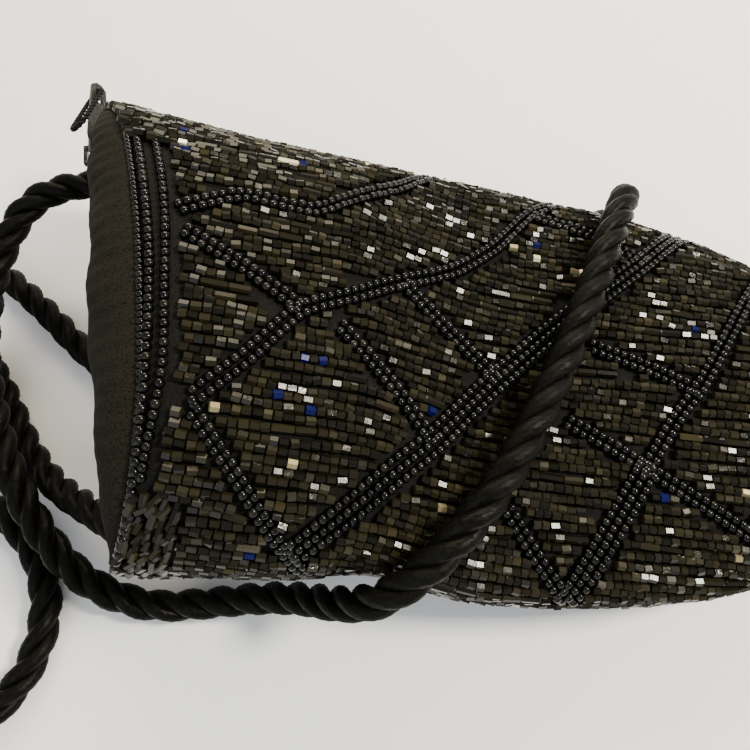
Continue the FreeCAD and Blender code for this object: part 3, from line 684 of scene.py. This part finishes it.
def binding(name, foot, heading, node):
    """Thread wound tightly round the rope's end."""
    profile = [(-4.5, 3.5), (-0.5, 4.1), (0.0, 4.2)]  # its root goes into the seam of the crepe
    for turn in range(BINDING_TURNS):
        for part in range(BINDING_STEPS):
            x = END_LONG * (turn + part / BINDING_STEPS) / BINDING_TURNS
            rise = THREAD_RISE * abs(math.sin(math.pi * part / BINDING_STEPS))
            profile.append((x, BINDING_RADIUS + rise))
    profile += [(END_LONG, BINDING_RADIUS), (END_LONG + 0.2, 3.9)]
    verts, faces = lathe(profile, 40)
    axis = np.array(heading)
    up = np.cross(axis, (0.0, 1.0, 0.0))
    up = up / np.linalg.norm(up)
    other = np.cross(axis, up)
    points = np.array(foot) + verts[:, :1] * axis + verts[:, 1:2] * up + verts[:, 2:3] * other
    obj = make_mesh(name, points, faces)
    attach(obj, "bag")
    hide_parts(node)
    return obj


far_binding = binding("strap_binding_far", far_foot, far_heading, "strap_end_far")
near_binding = binding("strap_binding_near", near_foot, near_heading, "strap_end_near")


# ---------------------------------------------------------------- the small loop on the pull tab
TAB_LONG, SLOT_IN, LOOP_DROP = 27, 2.2, 0.9  # the loop hangs from the outer end of the tab's slot
LOOP_HALF, LOOP_LONG, LOOP_STEPS = 3.2, 13.0, 32
mouth_frame = Matrix.Translation((MOUTH_X, 0, ZIP_Z)) @ Matrix.Rotation(SKEW, 4, "Z")
tab_frame = mouth_frame @ Matrix.Translation((-3.45, 54.0, 0.0))
tab_frame = tab_frame @ Matrix.Rotation(math.radians(-1), 4, "Z") @ Matrix.Rotation(math.radians(-34), 4, "Y")
loop_frame = tab_frame @ Matrix.Translation((0, TAB_LONG - SLOT_IN - LOOP_DROP, 0))
loop_frame = loop_frame @ Matrix.Rotation(math.radians(160), 4, "X")
outline = []
for start, foot in ((math.pi, LOOP_HALF), (0.0, LOOP_HALF + LOOP_LONG)):
    for k in range(LOOP_STEPS + 1):
        angle = start + math.pi * k / LOOP_STEPS
        outline.append((LOOP_HALF * math.cos(angle), foot + LOOP_HALF * math.sin(angle), 0))
outline.append(outline[0])
loop_line = np.array([tuple(loop_frame @ Vector(p)) for p in outline])
loop_even, loop_places = even(loop_line, 0.5)
loop_cord = twisted("pull_loop_cord", loop_even, loop_places, "loop",
                    strands=2, lead=3.4, centre=0.36, radius=0.46, lobes=5, per_lobe=2)
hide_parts("pull_loop")

# ---------------------------------------------------------------- materials
def new_material(name, color, roughness, specular=0.5):
    material = bpy.data.materials.new(name)
    material.use_nodes = True
    tree = material.node_tree
    shader = tree.nodes["Principled BSDF"]
    shader.inputs["Base Color"].default_value = (*color, 1.0)
    shader.inputs["Roughness"].default_value = roughness
    shader.inputs["Specular IOR Level"].default_value = specular
    return material, tree, shader


def noise(tree, scale, detail=3.0, stretch=None):
    coords = tree.nodes.new("ShaderNodeTexCoord")
    out = tree.nodes.new("ShaderNodeTexNoise")
    out.inputs["Scale"].default_value = scale
    out.inputs["Detail"].default_value = detail
    source = coords.outputs["Object"]
    if stretch:
        mapping = tree.nodes.new("ShaderNodeMapping")
        mapping.inputs["Scale"].default_value = stretch
        tree.links.new(source, mapping.inputs["Vector"])
        source = mapping.outputs["Vector"]
    tree.links.new(source, out.inputs["Vector"])
    return out


def ramp(tree, source, stops, smooth=True):
    out = tree.nodes.new("ShaderNodeValToRGB")
    out.color_ramp.interpolation = "LINEAR" if smooth else "CONSTANT"
    elements = out.color_ramp.elements
    while len(elements) < len(stops):
        elements.new(0.5)
    for element, (position, color) in zip(elements, stops):
        element.position = position
        element.color = (*color, 1.0)
    tree.links.new(source, out.inputs["Fac"])
    return out


def grey(value):
    return (value, value, value)


def bump(tree, shader, source, strength, distance):
    out = tree.nodes.new("ShaderNodeBump")
    out.inputs["Strength"].default_value = strength
    out.inputs["Distance"].default_value = distance
    tree.links.new(source, out.inputs["Height"])
    tree.links.new(out.outputs["Normal"], shader.inputs["Normal"])
    return out


def tint_of(tree):
    out = tree.nodes.new("ShaderNodeAttribute")
    out.attribute_name = "tint"
    return out.outputs["Fac"]


def glass_beads(name, flashing):
    """Black glass. A few beads in a hundred are given a lustred cream colour that also paints the glints of
    their facets (painted highlight), and fewer are blue.
    """
    material, tree, shader = new_material(name, (0.01, 0.01, 0.012), 0.12, 0.15 if flashing else 0.26)
    tint = tint_of(tree)
    if flashing:
        stops = [(0.0, (0.0055, 0.0049, 0.0028)), (0.30, (0.0098, 0.0085, 0.0044)),
                 (0.55, (0.0130, 0.0112, 0.0056)), (0.82, (0.0180, 0.0150, 0.0070)),
                 # the two cream stops are light bead colour that paints facet glints as well as a lustre:
                 # painted highlight
                 (0.965, (0.029, 0.024, 0.011)), (0.985, (0.28, 0.24, 0.13)),
                 (0.992, (0.75, 0.70, 0.48)), (0.995, (0.003, 0.004, 0.050))]
        metal = [(0.0, grey(0.0)), (0.985, grey(0.5)), (0.995, grey(0.1))]
        rough = [(0.0, grey(0.14)), (0.30, grey(0.20)), (0.55, grey(0.10)), (0.82, grey(0.26)),
                 (0.985, grey(0.32))]
    else:
        stops = [(0.0, (0.0012, 0.0011, 0.0009)), (0.5, (0.0028, 0.0026, 0.0018)),
                 (0.85, (0.0055, 0.0048, 0.003))]
        metal = [(0.0, grey(0.0)), (0.9, grey(0.0))]
        rough = [(0.0, grey(0.14)), (0.5, grey(0.18)), (0.85, grey(0.23))]
    colors = ramp(tree, tint, stops, smooth=False)
    tree.links.new(colors.outputs["Color"], shader.inputs["Base Color"])
    tree.links.new(ramp(tree, tint, metal, smooth=False).outputs["Color"], shader.inputs["Metallic"])
    tree.links.new(ramp(tree, tint, rough, smooth=False).outputs["Color"], shader.inputs["Roughness"])
    bump(tree, shader, noise(tree, 900.0, 2.0).outputs["Fac"], 0.06, 0.0004)
    return material


def crepe_cloth():
    material, tree, shader = new_material("black_crepe", (0.012, 0.011, 0.007), 0.95, 0.12)
    fine = noise(tree, 1500.0, 4.0)
    specks = noise(tree, 2400.0, 2.0)
    stops = [(0.36, (0.0025, 0.0022, 0.0015)), (0.46, (0.0095, 0.0084, 0.0052)),
             (0.70, (0.014, 0.0122, 0.0076))]
    colors = ramp(tree, specks.outputs["Fac"], stops)
    tree.links.new(colors.outputs["Color"], shader.inputs["Base Color"])
    bump(tree, shader, fine.outputs["Fac"], 0.55, 0.0006)
    return material


def base_fabric():
    material, tree, shader = new_material("black_ground_fabric", (0.006, 0.005, 0.004), 0.9, 0.15)
    weave = noise(tree, 1800.0, 2.0)
    colors = ramp(tree, weave.outputs["Fac"], [(0.35, (0.002, 0.002, 0.002)), (0.65, (0.007, 0.006, 0.005))])
    tree.links.new(colors.outputs["Color"], shader.inputs["Base Color"])
    bump(tree, shader, weave.outputs["Fac"], 0.4, 0.0004)
    return material


def satin_yarn(name, color, bright):
    material, tree, shader = new_material(name, color, 0.6, 0.06)
    fibres = noise(tree, 1100.0, 4.0)
    wear = noise(tree, 120.0, 2.0)
    colors = ramp(tree, fibres.outputs["Fac"], [(0.32, color), (0.72, bright)])
    tree.links.new(colors.outputs["Color"], shader.inputs["Base Color"])
    rough = ramp(tree, wear.outputs["Fac"], [(0.3, grey(0.34)), (0.7, grey(0.55))])
    tree.links.new(rough.outputs["Color"], shader.inputs["Roughness"])
    bump(tree, shader, fibres.outputs["Fac"], 0.35, 0.0004)
    return material


def woven(name, dark, light, roughness=0.8, scale=2600.0):
    material, tree, shader = new_material(name, dark, roughness, 0.3)
    coords = tree.nodes.new("ShaderNodeTexCoord")
    threads = tree.nodes.new("ShaderNodeTexWave")
    threads.inputs["Scale"].default_value = scale / 6
    threads.inputs["Distortion"].default_value = 0.6
    threads.bands_direction = "DIAGONAL"
    tree.links.new(coords.outputs["Object"], threads.inputs["Vector"])
    colors = ramp(tree, threads.outputs["Fac"], [(0.2, dark), (0.8, light)])
    tree.links.new(colors.outputs["Color"], shader.inputs["Base Color"])
    bump(tree, shader, threads.outputs["Fac"], 0.4, 0.0002)
    return material


def dark_metal():
    material, tree, shader = new_material("black_enamel", (0.035, 0.033, 0.030), 0.32, 0.5)
    shader.inputs["Metallic"].default_value = 0.75
    scuffs = noise(tree, 700.0, 5.0, (1.0, 1.0, 4.0))
    stops = [(0.35, (0.020, 0.019, 0.017)), (0.66, (0.055, 0.052, 0.045)), (0.76, (0.22, 0.20, 0.16))]
    colors = ramp(tree, scuffs.outputs["Fac"], stops)
    rough = ramp(tree, scuffs.outputs["Fac"], [(0.3, grey(0.24)), (0.7, grey(0.46))])
    tree.links.new(colors.outputs["Color"], shader.inputs["Base Color"])
    tree.links.new(rough.outputs["Color"], shader.inputs["Roughness"])
    bump(tree, shader, scuffs.outputs["Fac"], 0.08, 0.0002)
    return material


def nylon():
    material, tree, shader = new_material("black_nylon", (0.018, 0.018, 0.018), 0.38, 0.5)
    marks = noise(tree, 800.0, 3.0)
    rough = ramp(tree, marks.outputs["Fac"], [(0.3, grey(0.30)), (0.7, grey(0.5))])
    tree.links.new(rough.outputs["Color"], shader.inputs["Roughness"])
    bump(tree, shader, marks.outputs["Fac"], 0.1, 0.0002)
    return material


def felt():
    material, tree, shader = new_material("dark_interlining", (0.006, 0.006, 0.005), 0.95, 0.1)
    fibres = noise(tree, 900.0, 6.0)
    colors = ramp(tree, fibres.outputs["Fac"], [(0.3, grey(0.003)), (0.7, grey(0.009))])
    tree.links.new(colors.outputs["Color"], shader.inputs["Base Color"])
    bump(tree, shader, fibres.outputs["Fac"], 0.6, 0.0006)
    return material


def dress(obj, material):
    obj.data.materials.clear()
    obj.data.materials.append(material)


flashing = glass_beads("black_cut_glass_painted_glints", True)
plain_glass = glass_beads("black_seed_glass", False)
crepe = crepe_cloth()
ground = base_fabric()
rope_yarn = satin_yarn("black_satin_rope", (0.0018, 0.0018, 0.0012), (0.0052, 0.0050, 0.0034))
loop_yarn = satin_yarn("black_loop_cord", (0.004, 0.004, 0.004), (0.012, 0.011, 0.010))
tape_cloth = woven("black_zip_tape", (0.010, 0.010, 0.010), (0.030, 0.029, 0.027))
satin = woven("black_satin_lining", (0.012, 0.012, 0.014), (0.030, 0.030, 0.034), 0.35, 4200.0)
enamel, plastic, wool = dark_metal(), nylon(), felt()

for obj in bead_fields:
    dress(obj, flashing)
for obj in seed_pieces.values():
    dress(obj, plain_glass)
for obj in (front_fabric, back_fabric):
    dress(obj, ground)
for obj in (front_crepe, back_crepe):
    dress(obj, crepe)
for obj in (strap, far_binding, near_binding):
    dress(obj, rope_yarn)
dress(loop_cord, loop_yarn)
NODE_LOOKS = {
    "zip_tape_front": tape_cloth, "zip_tape_back": tape_cloth,
    "zip_end_patch_far": crepe, "zip_end_patch_near": crepe,
    "zip_teeth_front": plastic, "zip_teeth_back": plastic, "zip_top_stop": enamel, "zip_bottom_stop": enamel,
    "slider_body": enamel, "pull_tab": enamel, "front_padding": wool, "back_padding": wool,
    "front_lining": satin, "back_lining": satin, "inner_pocket": satin,
}
for name, material in NODE_LOOKS.items():
    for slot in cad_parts[name].material_slots:
        slot.material = material


# ---------------------------------------------------------------- floor, light and surroundings
def make_floor():
    size, low = 3000.0, -0.3
    corners = [(-size, -size, low), (size, -size, low), (size, size, low), (-size, size, low)]
    floor = make_mesh("floor", corners, [[0, 1, 2, 3]])
    material, _, _ = new_material("pale_floor", (0.97, 0.97, 0.965), 0.9, 0.1)
    dress(floor, material)


def area_light(name, place, target, size, power, color):
    data = bpy.data.lights.new(name, "AREA")
    data.shape = "RECTANGLE"
    data.size, data.size_y = size
    data.energy = power
    data.color = color
    light = bpy.data.objects.new(name, data)
    light.location = place
    light.rotation_euler = (Vector(target) - Vector(place)).to_track_quat("-Z", "Y").to_euler()
    scene.collection.objects.link(light)


make_floor()
area_light("key", (0.42, 0.10, 0.62), (0.0, 0.0, 0.05), (0.13, 0.13), 9.5, (1.0, 0.94, 0.80))
area_light("far_fill", (-0.10, 0.55, 0.45), (-0.03, 0.0, 0.06), (0.5, 0.3), 6.0, (1.0, 0.88, 0.66))
area_light("near_fill", (-0.25, -0.50, 0.40), (-0.03, 0.0, 0.04), (0.5, 0.4), 1.4, (0.80, 0.88, 1.0))
world = bpy.data.worlds.new("world")
world.use_nodes = True
world.node_tree.nodes["Background"].inputs["Color"].default_value = (1.0, 1.0, 1.0, 1.0)
world.node_tree.nodes["Background"].inputs["Strength"].default_value = 0.66
scene.world = world
